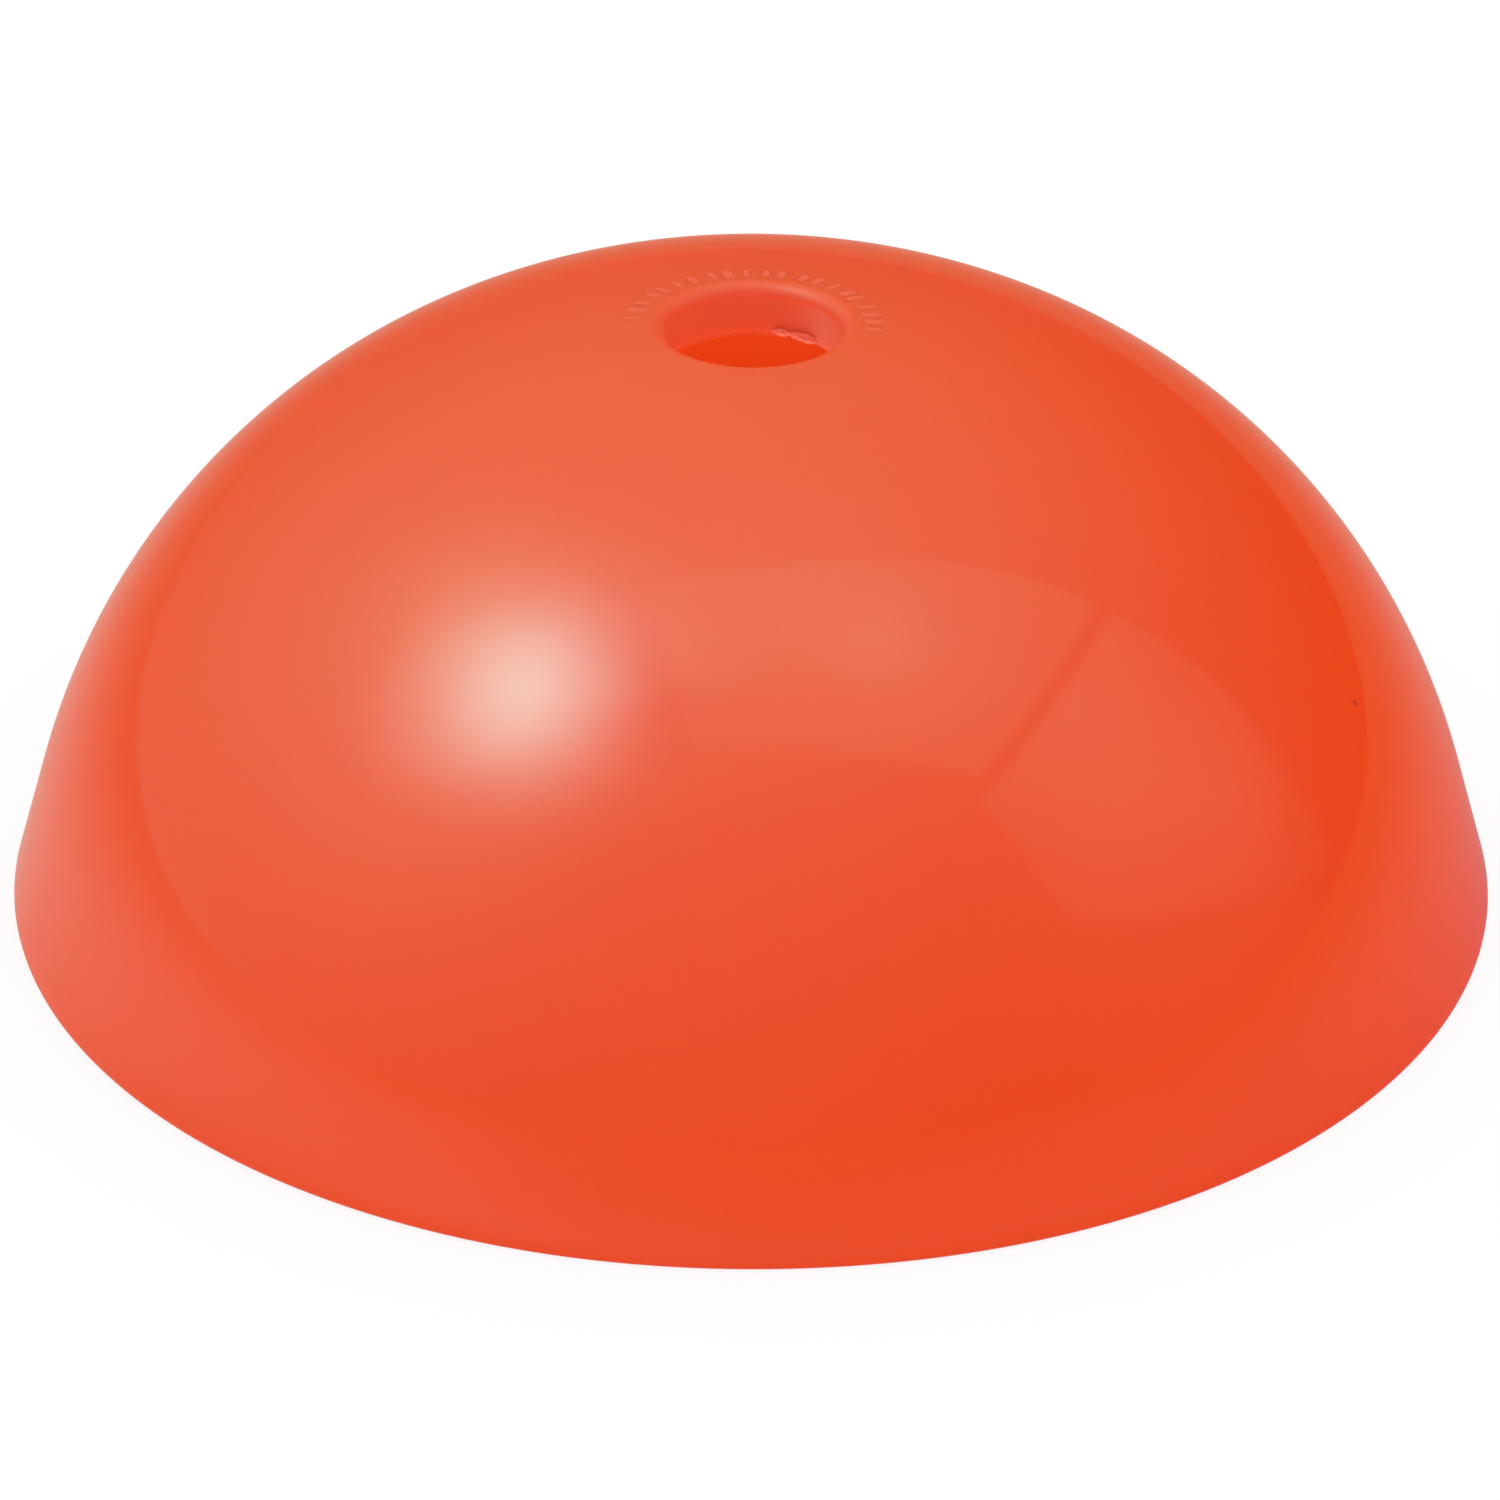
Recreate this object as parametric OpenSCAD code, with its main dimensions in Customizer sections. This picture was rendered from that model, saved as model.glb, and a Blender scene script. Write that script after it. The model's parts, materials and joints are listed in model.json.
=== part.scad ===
// Dome marker for training grounds: a hollow moulded dome with a pole hole through its crown.
// The dome stands on the XY plane and its axis is Z. All lengths are in millimetres.

/* [Dome] */
// Diameter across the widest point of the foot
base_d = 220; // [200:1:260]
// Height from the ground to the top of the shoulder arc
crown_h = 90; // [80:1:100]
// Thickness of the moulded wall
wall = 4; // [3:0.1:6]

/* [Skirt] */
// Height at which the straight skirt turns into the shoulder arc
skirt_h = 16; // [6:0.5:24]
// Lean of the skirt for mould release, in degrees
skirt_draft = 16; // [10:0.1:20]
// Rounding of the outer foot edge
foot_outer_r = 0.8; // [0.3:0.1:1.2]
// Rounding of the inner foot edge
foot_inner_r = 1; // [0.3:0.1:1.2]

/* [Pole hole] */
// Diameter of the training pole that the hole takes
pole_d = 25; // [16:0.5:35]
// Clearance on the diameter, so that a pole or a carry rod slides freely
pole_clearance = 0.5; // [0.5:0.1:3]
// Rounding of the lip at the top of the hole
lip_r = 2; // [0.4:0.1:2.6]
// Rounding of the lower edge of the hole
bore_edge_r = 0.5; // [0.2:0.1:1]

/* [Collar] */
// Thickness of the collar round the hole
collar_wall = 5; // [3:0.1:8]
// How far the collar stands below the inside of the dome, at its root
collar_drop = 3.6; // [2.3:0.1:12]
// Rounding of the collar's lower outer edge
collar_edge_r = 0.6; // [0.2:0.1:0.8]
// Fillet between the collar and the inside of the dome
collar_root_r = 1.2; // [0.4:0.1:1.4]

/* [Hidden] */
$fn = 96;

// Straight lines that stand for each long arc and each small rounding
shoulder_steps = 40;
rounding_steps = 6;

bore_r = (pole_d + pole_clearance) / 2;
collar_r = bore_r + collar_wall;

// Unit normal of the outer skirt line, and that line's distance from the origin
skirt_normal = [cos(skirt_draft), sin(skirt_draft)];
foot_outer_c = [base_d / 2 - foot_outer_r, foot_outer_r];
skirt_reach = skirt_normal * foot_outer_c + foot_outer_r;

// The shoulder arc touches the skirt line at skirt_h and a level line at crown_h
shoulder_r = (crown_h - skirt_h) / (1 - skirt_normal.y);
shoulder_c = [
    (skirt_reach - shoulder_r - (crown_h - shoulder_r) * skirt_normal.y) / skirt_normal.x,
    crown_h - shoulder_r
];

// The inner skirt line lies one wall thickness inside the outer one
foot_inner_c = [
    (skirt_reach - wall + foot_inner_r * (1 - skirt_normal.y)) / skirt_normal.x,
    foot_inner_r
];

// Height of the crown at x, on an arc of radius r about the shoulder centre, and level inside that centre
function crown_z(x, r) = shoulder_c.y + sqrt(r ^ 2 - max(0, x - shoulder_c.x) ^ 2);
// Direction of a point on the crown, seen from the shoulder centre
function bearing(p) = atan2(p.y - shoulder_c.y, max(0, p.x - shoulder_c.x));

// The lip touches the hole and the outer arc, the collar's root touches the collar and the inner arc
lip_x = bore_r + lip_r;
root_x = collar_r + collar_root_r;
lip_c = [lip_x, crown_z(lip_x, shoulder_r - lip_r)];
root_c = [root_x, crown_z(root_x, shoulder_r - wall - collar_root_r)];
collar_z = root_c.y + collar_root_r - collar_drop;

function arc(centre, r, from, to, steps) = [
    for (i = [0:steps])
        let (angle = from + (to - from) * i / steps)
        centre + r * [cos(angle), sin(angle)]
];

// Half section of the wall, drawn once round: up the outside, down the hole and back down the inside
module wall_section() {
    bore_edge_c = [bore_r + bore_edge_r, collar_z + bore_edge_r];
    collar_edge_c = [collar_r - collar_edge_r, collar_z + collar_edge_r];
    polygon(concat(
        arc(foot_outer_c, foot_outer_r, -90, skirt_draft, rounding_steps),
        arc(shoulder_c, shoulder_r, skirt_draft, bearing(lip_c), shoulder_steps),
        arc(lip_c, lip_r, bearing(lip_c), 180, rounding_steps),
        arc(bore_edge_c, bore_edge_r, 180, 270, rounding_steps),
        arc(collar_edge_c, collar_edge_r, 270, 360, rounding_steps),
        arc(root_c, collar_root_r, 180, bearing(root_c), rounding_steps),
        arc(shoulder_c, shoulder_r - wall, bearing(root_c), skirt_draft, shoulder_steps),
        arc(foot_inner_c, foot_inner_r, 180 + skirt_draft, 270, rounding_steps)
    ));
}

module dome_shell() {
    color("orangered") rotate_extrude() wall_section();
}

dome_shell();
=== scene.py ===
import json
import math
import bpy
from mathutils import Matrix, Vector


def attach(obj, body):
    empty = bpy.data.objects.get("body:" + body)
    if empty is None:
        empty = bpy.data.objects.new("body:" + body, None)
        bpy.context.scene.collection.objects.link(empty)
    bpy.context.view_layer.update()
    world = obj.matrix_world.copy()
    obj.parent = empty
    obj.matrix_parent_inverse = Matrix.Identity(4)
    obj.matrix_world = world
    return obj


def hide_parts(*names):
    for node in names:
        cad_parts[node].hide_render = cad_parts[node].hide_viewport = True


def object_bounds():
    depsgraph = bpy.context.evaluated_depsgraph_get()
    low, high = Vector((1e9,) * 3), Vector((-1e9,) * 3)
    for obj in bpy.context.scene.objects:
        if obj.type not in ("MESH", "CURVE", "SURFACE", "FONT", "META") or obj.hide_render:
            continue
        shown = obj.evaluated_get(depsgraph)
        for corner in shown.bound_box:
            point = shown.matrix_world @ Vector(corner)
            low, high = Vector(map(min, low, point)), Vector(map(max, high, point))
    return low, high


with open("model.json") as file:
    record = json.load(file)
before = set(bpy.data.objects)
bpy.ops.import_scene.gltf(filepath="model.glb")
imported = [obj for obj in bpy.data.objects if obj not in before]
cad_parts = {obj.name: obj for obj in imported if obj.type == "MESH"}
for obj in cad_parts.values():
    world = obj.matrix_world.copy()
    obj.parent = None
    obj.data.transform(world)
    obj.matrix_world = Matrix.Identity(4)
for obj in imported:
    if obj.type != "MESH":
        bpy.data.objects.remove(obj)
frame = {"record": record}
cadLow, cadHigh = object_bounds()
mounts = {mount["name"]: mount for mount in frame["record"]["mounts"]}
poleHole = mounts["pole_hole"]
mm = 0.001
mergeGap = 1e-6  # points nearer than this are one point
print("frame loaded, CAD box", [round(v, 4) for v in cadHigh - cadLow])

# the moulded shell, in metres: the same section as the CAD solid, with finer arcs
shell = {
    "footRadius": cadHigh.x,
    "crownHeight": 90 * mm,
    "wall": 4 * mm,
    "skirtHeight": 16 * mm,
    "skirtDraft": math.radians(16),
    "footOuter": 0.8 * mm,
    "footInner": 1.0 * mm,
    "holeRadius": poleHole["dims"]["r_mm"] * mm,
    "lip": 2 * mm,
    "boreEdge": 0.5 * mm,
    "collarWall": 5 * mm,
    "collarDrop": 3.6 * mm,
    "collarEdge": 0.6 * mm,
    "collarRoot": 1.2 * mm,
    "spokes": 256,
    # how many rings of faces each arc of the section gets, and each straight that follows an arc
    "arcRings": {"footOuter": 7, "shoulder": 120, "lip": 26, "boreEdge": 6, "collarEdge": 5,
                 "collarRoot": 6, "inside": 60, "footInner": 6},
    "lineRings": {"footOuter": 10, "lip": 6, "boreEdge": 4, "collarEdge": 3, "inside": 8, "footInner": 3},
    # the soft wall is not quite even: how deep it is drawn in, and how often
    "waveDepth": 0.12 * mm,
    "waveScale": 14.0,
}


def plug(tree, value, socket):
    if isinstance(value, bpy.types.NodeSocket):
        tree.links.new(value, socket)
    else:
        socket.default_value = value


def put(tree, kind, inputs=None, **settings):
    node = tree.nodes.new(kind)
    for name, value in settings.items():
        setattr(node, name, value)
    for name, value in (inputs or {}).items():
        plug(tree, value, node.inputs[name])
    return node


def calc(tree, operation, *values):
    return put(tree, "ShaderNodeMath", dict(enumerate(values)), operation=operation).outputs[0]


# a Mix node has sockets for each kind of value: here are the first, the second and the result of two kinds
mixSockets = {"VECTOR": (4, 5, 1), "RGBA": (6, 7, 2)}


def mixed(tree, kind, factor, start, end):
    first, second, result = mixSockets[kind]
    inputs = {"Factor": factor, first: start, second: end}
    return put(tree, "ShaderNodeMix", inputs, data_type=kind).outputs[result]


def newTree(name, kind, inputs, outputs):
    tree = bpy.data.node_groups.new(name, kind)
    for title, (socketKind, default) in inputs.items():
        socket = tree.interface.new_socket(title, in_out="INPUT", socket_type="NodeSocket" + socketKind)
        if default is not None:
            socket.default_value = default
    for title, socketKind in outputs.items():
        tree.interface.new_socket(title, in_out="OUTPUT", socket_type="NodeSocket" + socketKind)
    return tree, tree.nodes.new("NodeGroupInput").outputs, tree.nodes.new("NodeGroupOutput").inputs


def turned(tree, across, up, spin):
    # a point of the section, turned round Z
    x = calc(tree, "MULTIPLY", across, calc(tree, "COSINE", spin))
    y = calc(tree, "MULTIPLY", across, calc(tree, "SINE", spin))
    return put(tree, "ShaderNodeCombineXYZ", {"X": x, "Y": y, "Z": up}).outputs[0]


def bandGrid(tree, given):
    # a flat grid whose X runs once round and whose Y runs from the start to the end of the band
    grid = put(tree, "GeometryNodeMeshGrid", {
        "Size X": 1.0,
        "Size Y": 1.0,
        "Vertices X": calc(tree, "ADD", given["Spokes"], 1.0),
        "Vertices Y": calc(tree, "ADD", given["Rings"], 1.0),
    })
    spot = put(tree, "ShaderNodeSeparateXYZ", {0: put(tree, "GeometryNodeInputPosition").outputs[0]}).outputs
    spin = calc(tree, "MULTIPLY", spot["X"], -math.tau)
    along = calc(tree, "ADD", spot["Y"], 0.5)
    return grid.outputs["Mesh"], spin, along


def arcBandTree():
    tree, given, out = newTree("arcBand", "GeometryNodeTree", {
        "Centre": ("Vector", None), "Radius": ("Float", 0.01), "Start": ("Float", 0.0), "End": ("Float", 1.0),
        "Rings": ("Int", 8), "Spokes": ("Int", 64)}, {"Mesh": "Geometry"})
    mesh, spin, along = bandGrid(tree, given)
    sweep = calc(tree, "SUBTRACT", given["End"], given["Start"])
    angle = calc(tree, "MULTIPLY_ADD", along, sweep, given["Start"])
    centre = put(tree, "ShaderNodeSeparateXYZ", {0: given["Centre"]}).outputs
    across = calc(tree, "MULTIPLY_ADD", calc(tree, "COSINE", angle), given["Radius"], centre["X"])
    up = calc(tree, "MULTIPLY_ADD", calc(tree, "SINE", angle), given["Radius"], centre["Z"])
    placed = put(tree, "GeometryNodeSetPosition", {
        "Geometry": mesh, "Position": turned(tree, across, up, spin)})
    plug(tree, placed.outputs[0], out["Mesh"])
    return tree


def lineBandTree():
    tree, given, out = newTree("lineBand", "GeometryNodeTree", {
        "From": ("Vector", None), "To": ("Vector", None),
        "Rings": ("Int", 8), "Spokes": ("Int", 64)}, {"Mesh": "Geometry"})
    mesh, spin, along = bandGrid(tree, given)
    between = mixed(tree, "VECTOR", along, given["From"], given["To"])
    spot = put(tree, "ShaderNodeSeparateXYZ", {0: between}).outputs
    position = turned(tree, spot["X"], spot["Z"], spin)
    placed = put(tree, "GeometryNodeSetPosition", {"Geometry": mesh, "Position": position})
    plug(tree, placed.outputs[0], out["Mesh"])
    return tree


def shellBands(size):
    # the section as tangent arcs and lines: up the outside, down the hole and back down the inside
    lean, rise = math.cos(size["skirtDraft"]), math.sin(size["skirtDraft"])
    normal = Vector((lean, 0, rise))
    footOuter = Vector((size["footRadius"] - size["footOuter"], 0, size["footOuter"]))
    reach = normal.dot(footOuter) + size["footOuter"]
    outerRadius = (size["crownHeight"] - size["skirtHeight"]) / (1 - rise)
    innerRadius = outerRadius - size["wall"]
    centreUp = size["crownHeight"] - outerRadius
    shoulder = Vector(((reach - outerRadius - centreUp * rise) / lean, 0, centreUp))
    innerReach = reach - size["wall"] + size["footInner"] * (1 - rise)
    footInner = Vector((innerReach / lean, 0, size["footInner"]))

    def under(x, radius):
        # the point over x on an arc about the shoulder's centre
        return Vector((x, 0, shoulder.z + math.sqrt(radius ** 2 - max(0, x - shoulder.x) ** 2)))

    def bearing(point):
        return math.atan2(point.z - shoulder.z, max(0, point.x - shoulder.x))

    collarRadius = size["holeRadius"] + size["collarWall"]
    lip = under(size["holeRadius"] + size["lip"], outerRadius - size["lip"])
    root = under(collarRadius + size["collarRoot"], innerRadius - size["collarRoot"])
    collarUp = root.z + size["collarRoot"] - size["collarDrop"]
    boreEdge = Vector((size["holeRadius"] + size["boreEdge"], 0, collarUp + size["boreEdge"]))
    collarEdge = Vector((collarRadius - size["collarEdge"], 0, collarUp + size["collarEdge"]))
    level, upright = math.pi * 1.5, math.pi
    arcs = [
        ("footOuter", footOuter, size["footOuter"], -math.pi / 2, size["skirtDraft"]),
        ("shoulder", shoulder, outerRadius, size["skirtDraft"], bearing(lip)),
        ("lip", lip, size["lip"], bearing(lip), upright),
        ("boreEdge", boreEdge, size["boreEdge"], upright, level),
        ("collarEdge", collarEdge, size["collarEdge"], level, math.tau),
        ("collarRoot", root, size["collarRoot"], upright, bearing(root)),
        ("inside", shoulder, innerRadius, bearing(root), size["skirtDraft"]),
        ("footInner", footInner, size["footInner"], upright + size["skirtDraft"], level),
    ]
    bands = []
    for index, (name, centre, radius, start, end) in enumerate(arcs):
        spans = {"Centre": centre, "Radius": radius, "Start": start, "End": end}
        bands.append(("arc", name, spans, size["arcRings"][name]))
        if name in size["lineRings"]:
            nextCentre, nextRadius, nextStart = arcs[(index + 1) % len(arcs)][1:4]
            leave = centre + radius * Vector((math.cos(end), 0, math.sin(end)))
            arrive = nextCentre + nextRadius * Vector((math.cos(nextStart), 0, math.sin(nextStart)))
            bands.append(("line", name + "On", {"From": leave, "To": arrive}, size["lineRings"][name]))
    return bands, shoulder, outerRadius


shellSection, shoulderCentre, shoulderRadius = shellBands(shell)
# the bands that don't wear the outside's finish
bandSkins = {
    "Lip": ("lip",),
    "Hole": ("lipOn",),
    "Edge": ("boreEdge",),
    "Inside": ("boreEdgeOn", "collarEdge", "collarEdgeOn", "collarRoot", "inside", "insideOn"),
}


def shellTree(bands):
    kinds = {"arc": arcBandTree(), "line": lineBandTree()}
    inputs = {"Spokes": ("Int", 64), "Wave Depth": ("Float", 0.0), "Wave Scale": ("Float", 10.0),
              "Outside": ("Material", None), "Lip": ("Material", None), "Hole": ("Material", None),
              "Edge": ("Material", None), "Inside": ("Material", None)}
    for kind, name, values, rings in bands:
        for title, value in values.items():
            inputs[name + " " + title] = ("Vector" if isinstance(value, Vector) else "Float", None)
    tree, given, out = newTree("mouldedShell", "GeometryNodeTree", inputs, {"Mesh": "Geometry"})
    whole = put(tree, "GeometryNodeJoinGeometry")
    for kind, name, values, rings in reversed(bands):
        band = put(tree, "GeometryNodeGroup", node_tree=kinds[kind])
        for title in values:
            plug(tree, given[name + " " + title], band.inputs[title])
        plug(tree, rings, band.inputs["Rings"])
        plug(tree, given["Spokes"], band.inputs["Spokes"])
        finish = next((title for title, names in bandSkins.items() if name in names), "Outside")
        skin = put(tree, "GeometryNodeSetMaterial", {"Geometry": band.outputs[0], "Material": given[finish]})
        plug(tree, skin.outputs[0], whole.inputs[0])
    closed = put(tree, "GeometryNodeMergeByDistance", {
        "Geometry": whole.outputs[0], "Distance": mergeGap})
    # the soft wall is drawn in a little here and there, both of its faces together
    place = put(tree, "GeometryNodeInputPosition").outputs[0]
    wave = put(tree, "ShaderNodeTexNoise", {"Vector": place, "Scale": given["Wave Scale"], "Detail": 0.0})
    depth = calc(tree, "MULTIPLY", calc(tree, "MULTIPLY", wave.outputs[0], given["Wave Depth"]), -1.0)
    outward = put(tree, "ShaderNodeVectorMath", {0: place}, operation="NORMALIZE").outputs[0]
    offset = put(tree, "ShaderNodeVectorMath", {0: outward, "Scale": depth}, operation="SCALE").outputs[0]
    drawn = put(tree, "GeometryNodeSetPosition", {"Geometry": closed.outputs[0], "Offset": offset})
    smooth = put(tree, "GeometryNodeSetShadeSmooth", {"Geometry": drawn.outputs[0]})
    real = put(tree, "GeometryNodeRealizeInstances", {"Geometry": smooth.outputs[0]})
    plug(tree, real.outputs[0], out["Mesh"])
    return tree


def titled(look):
    # a piece's settings under the names of its tree's inputs
    return {name.capitalize(): value for name, value in look.items()}


def grown(name, tree, values):
    # a plain mesh from a geometry tree, with the modifier gone again
    holder = bpy.data.objects.new(name + "Holder", bpy.data.meshes.new(name + "Seed"))
    bpy.context.collection.objects.link(holder)
    modifier = holder.modifiers.new("grow", "NODES")
    modifier.node_group = tree
    for item in tree.interface.items_tree:
        if item.in_out == "INPUT" and item.name in values:
            modifier[item.identifier] = values[item.name]
    bpy.context.view_layer.update()
    evaluated = holder.evaluated_get(bpy.context.evaluated_depsgraph_get())
    mesh = bpy.data.meshes.new_from_object(evaluated)
    mesh.name = name
    bpy.data.objects.remove(holder)
    piece = bpy.data.objects.new(name, mesh)
    bpy.context.collection.objects.link(piece)
    return piece


# colours are linear; every finish of the marker is one vermilion plastic
plastic = {
    "colour": (0.789, 0.0675, 0.0038),
    "deep": (0.776, 0.0632, 0.0032),
    "scatter": (1.0, 0.22, 0.08),
    "scatterDepth": 2.5 * mm,
    "scatterWeight": 0.6,
    "shine": 0.5,
    "ior": 1.5,
    "relief": 0.6,  # how strongly the ripple tilts the surface
    "speck": (0.42, 0.05, 0.015),
}


def mottleTree():
    # light and dark patches; Low and High are where the noise counts as all dark and all light
    tree, given, out = newTree("mouldMottle", "ShaderNodeTree", {
        "Scale": ("Float", 40.0), "Low": ("Float", 0.3), "High": ("Float", 0.7),
        "Light": ("Color", (1, 1, 1, 1)), "Dark": ("Color", (1, 1, 1, 1))}, {
        "Color": "Color", "Patch": "Float"})
    place = put(tree, "ShaderNodeTexCoord").outputs["Object"]
    broad = put(tree, "ShaderNodeTexNoise", {"Vector": place, "Scale": given["Scale"], "Detail": 4.0})
    patch = put(tree, "ShaderNodeMapRange", {
        "Value": broad.outputs[0], "From Min": given["Low"], "From Max": given["High"]}).outputs[0]
    plug(tree, mixed(tree, "RGBA", patch, given["Dark"], given["Light"]), out["Color"])
    plug(tree, patch, out["Patch"])
    return tree


def scuffTree():
    # thin lines along the edges of warped cells, broken up by a noise
    tree, given, out = newTree("fineScuffs", "ShaderNodeTree", {
        "Scale": ("Float", 60.0), "Spread": ("Float", 0.5), "Fade": ("Float", 0.12),
        "Line": ("Float", 0.012), "Bend": ("Float", 0.02), "Bend Scale": ("Float", 25.0),
        "Break Scale": ("Float", 90.0)}, {"Mask": "Float"})
    place = put(tree, "ShaderNodeTexCoord").outputs["Object"]
    warp = put(tree, "ShaderNodeTexNoise", {"Vector": place, "Scale": given["Bend Scale"], "Detail": 2.0})
    bent = put(tree, "ShaderNodeVectorMath", {
        0: warp.outputs["Color"], "Scale": given["Bend"]}, operation="SCALE")
    moved = put(tree, "ShaderNodeVectorMath", {0: place, 1: bent.outputs[0]}, operation="ADD")
    cell = put(tree, "ShaderNodeTexVoronoi", {
        "Vector": moved.outputs[0], "Scale": given["Scale"]}, feature="DISTANCE_TO_EDGE")
    line = put(tree, "ShaderNodeMapRange", {
        "Value": cell.outputs[0], "From Min": 0.0, "From Max": given["Line"],
        "To Min": 1.0, "To Max": 0.0}).outputs[0]
    broken = put(tree, "ShaderNodeTexNoise", {
        "Vector": place, "Scale": given["Break Scale"], "Detail": 1.0})
    where = put(tree, "ShaderNodeMapRange", {
        "Value": broken.outputs[0], "From Min": given["Spread"],
        "From Max": calc(tree, "ADD", given["Spread"], given["Fade"])}).outputs[0]
    plug(tree, calc(tree, "MULTIPLY", line, where), out["Mask"])
    return tree


def speckTree():
    # a round dot in the chosen share of the cells
    tree, given, out = newTree("dustSpecks", "ShaderNodeTree", {
        "Scale": ("Float", 60.0), "Share": ("Float", 0.02), "Size": ("Float", 0.05)}, {"Mask": "Float"})
    place = put(tree, "ShaderNodeTexCoord").outputs["Object"]
    cell = put(tree, "ShaderNodeTexVoronoi", {"Vector": place, "Scale": given["Scale"]})
    pick = put(tree, "ShaderNodeSeparateColor", {0: cell.outputs["Color"]}).outputs[0]
    chosen = calc(tree, "LESS_THAN", pick, given["Share"])
    dot = put(tree, "ShaderNodeMapRange", {
        "Value": cell.outputs["Distance"], "From Min": given["Size"],
        "From Max": calc(tree, "MULTIPLY", given["Size"], 0.5)}).outputs[0]
    plug(tree, calc(tree, "MULTIPLY", chosen, dot), out["Mask"])
    return tree


def rippleTree():
    tree, given, out = newTree("softRipple", "ShaderNodeTree", {
        "Broad": ("Float", 18.0), "Fine": ("Float", 400.0), "Share": ("Float", 0.1)}, {"Height": "Float"})
    place = put(tree, "ShaderNodeTexCoord").outputs["Object"]
    broad = put(tree, "ShaderNodeTexNoise", {"Vector": place, "Scale": given["Broad"], "Detail": 1.0})
    fine = put(tree, "ShaderNodeTexNoise", {"Vector": place, "Scale": given["Fine"], "Detail": 2.0})
    height = calc(tree, "MULTIPLY_ADD", fine.outputs[0], given["Share"], broad.outputs[0])
    plug(tree, height, out["Height"])
    return tree


def holeWearAndPaintedSheenTree():
    # the mask of the matt finish and of the painted sheen round the hole: full in the hole, and fading out
    # across the lip
    tree, given, out = newTree("holeWearAndPaintedSheen", "ShaderNodeTree", {
        "Full": ("Float", 0.013), "Gone": ("Float", 0.015)}, {"Mask": "Float"})
    place = put(tree, "ShaderNodeTexCoord").outputs["Object"]
    flat = put(tree, "ShaderNodeVectorMath", {0: place, 1: (1.0, 1.0, 0.0)}, operation="MULTIPLY").outputs[0]
    across = put(tree, "ShaderNodeVectorMath", {0: flat}, operation="LENGTH").outputs["Value"]
    mask = put(tree, "ShaderNodeMapRange", {
        "Value": across, "From Min": given["Gone"],
        "From Max": given["Full"]}, interpolation_type="SMOOTHSTEP")
    plug(tree, mask.outputs[0], out["Mask"])
    return tree


groups = {
    "mottle": mottleTree(),
    "scuffs": scuffTree(),
    "specks": speckTree(),
    "ripple": rippleTree(),
    "wearAndSheen": holeWearAndPaintedSheenTree(),
}

# how the gloss gives way to a paler, matt surface round the hole, by the distance from its axis; the paler
# colour is painted sheen, standing in for the soft light that the rounded lip catches
holeWearAndPaintedSheen = {
    "full": shell["holeRadius"] + 0.35 * mm,
    "gone": shell["holeRadius"] + 2.15 * mm,
    "rough": 0.42,
    "paintedSheenColour": (0.8, 0.089, 0.024),
    "paintedSheenShare": 0.8,
}

# each finish: patches, scuffs, specks, ripple and its height, roughness, and what it has of its own
finishes = {
    "dome_outside": {"mottle": 22.0, "scuffScale": 55.0, "scuffSpread": 0.62, "speckScale": 70.0,
                     "speckShare": 0.012, "speckSize": 0.05, "broad": 16.0, "fine": 380.0, "fineShare": 0.005,
                     # worn: matt round the hole, with a painted sheen there in a paler colour
                     "bump": 0.5 * mm, "rough": 0.05, "roughPatch": 0.015, "roughScuff": 0.04, "worn": True},
    "dome_inside": {"mottle": 30.0, "scuffScale": 40.0, "scuffSpread": 0.55, "speckScale": 60.0,
                    "speckShare": 0.02, "speckSize": 0.05, "broad": 20.0, "fine": 500.0, "fineShare": 0.2,
                    "bump": 0.8 * mm, "rough": 0.42, "roughPatch": 0.08, "roughScuff": 0.04, "shine": 0.15},
    # dome_hole's paler colour is painted light: lighter than the plastic, for the light that falls on the
    # hole's wall
    "dome_hole": {"mottle": 120.0, "scuffScale": 70.0, "scuffSpread": 0.5, "speckScale": 90.0,
                  "speckShare": 0.0, "speckSize": 0.05, "broad": 60.0, "fine": 700.0, "fineShare": 0.1,
                  "bump": 0.3 * mm, "rough": 0.52, "roughPatch": 0.08, "roughScuff": 0.02, "shine": 0.6,
                  "colour": (0.745, 0.084, 0.024), "deep": (0.735, 0.078, 0.021)},
    # dome_bore_edge is painted shade: darker than the plastic, for the shade where the hole's wall turns into
    # the hollow
    "dome_bore_edge": {"mottle": 120.0, "scuffScale": 70.0, "scuffSpread": 0.5, "speckScale": 90.0,
                       "speckShare": 0.0, "speckSize": 0.05, "broad": 60.0, "fine": 700.0, "fineShare": 0.1,
                       "bump": 0.3 * mm, "rough": 0.5, "roughPatch": 0.08, "roughScuff": 0.02, "shine": 0.15,
                       "colour": (0.5, 0.046, 0.011), "deep": (0.47, 0.041, 0.01)},
    # dome_raised's paler colour is partly painted sheen: lighter than the plastic, in place of the gloss the
    # raised marks catch
    "dome_raised": {"mottle": 200.0, "scuffScale": 90.0, "scuffSpread": 0.5, "speckScale": 90.0,
                    "speckShare": 0.0, "speckSize": 0.05, "broad": 120.0, "fine": 900.0, "fineShare": 0.2,
                    "bump": 0.1 * mm, "rough": 0.5, "roughPatch": 0.1, "roughScuff": 0.05, "shine": 0.25,
                    "scatterWeight": 0.0, "colour": (0.83, 0.103, 0.039), "deep": (0.82, 0.086, 0.027)},
    # dome_trimmed's pale colour is a painted highlight: lighter than the plastic, for the light the burr
    # catches low in the hole
    "dome_trimmed": {"mottle": 260.0, "scuffScale": 90.0, "scuffSpread": 0.5, "speckScale": 90.0,
                     "speckShare": 0.0, "speckSize": 0.05, "broad": 300.0, "fine": 900.0, "fineShare": 0.5,
                     "bump": 0.2 * mm, "rough": 0.55, "roughPatch": 0.1, "roughScuff": 0.1, "shine": 0.2,
                     "scatterWeight": 0.0, "colour": (0.87, 0.18, 0.11), "deep": (0.86, 0.14, 0.08)},
}
finishes["dome_lip"] = {**finishes["dome_outside"], "shine": 0.45}


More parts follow.
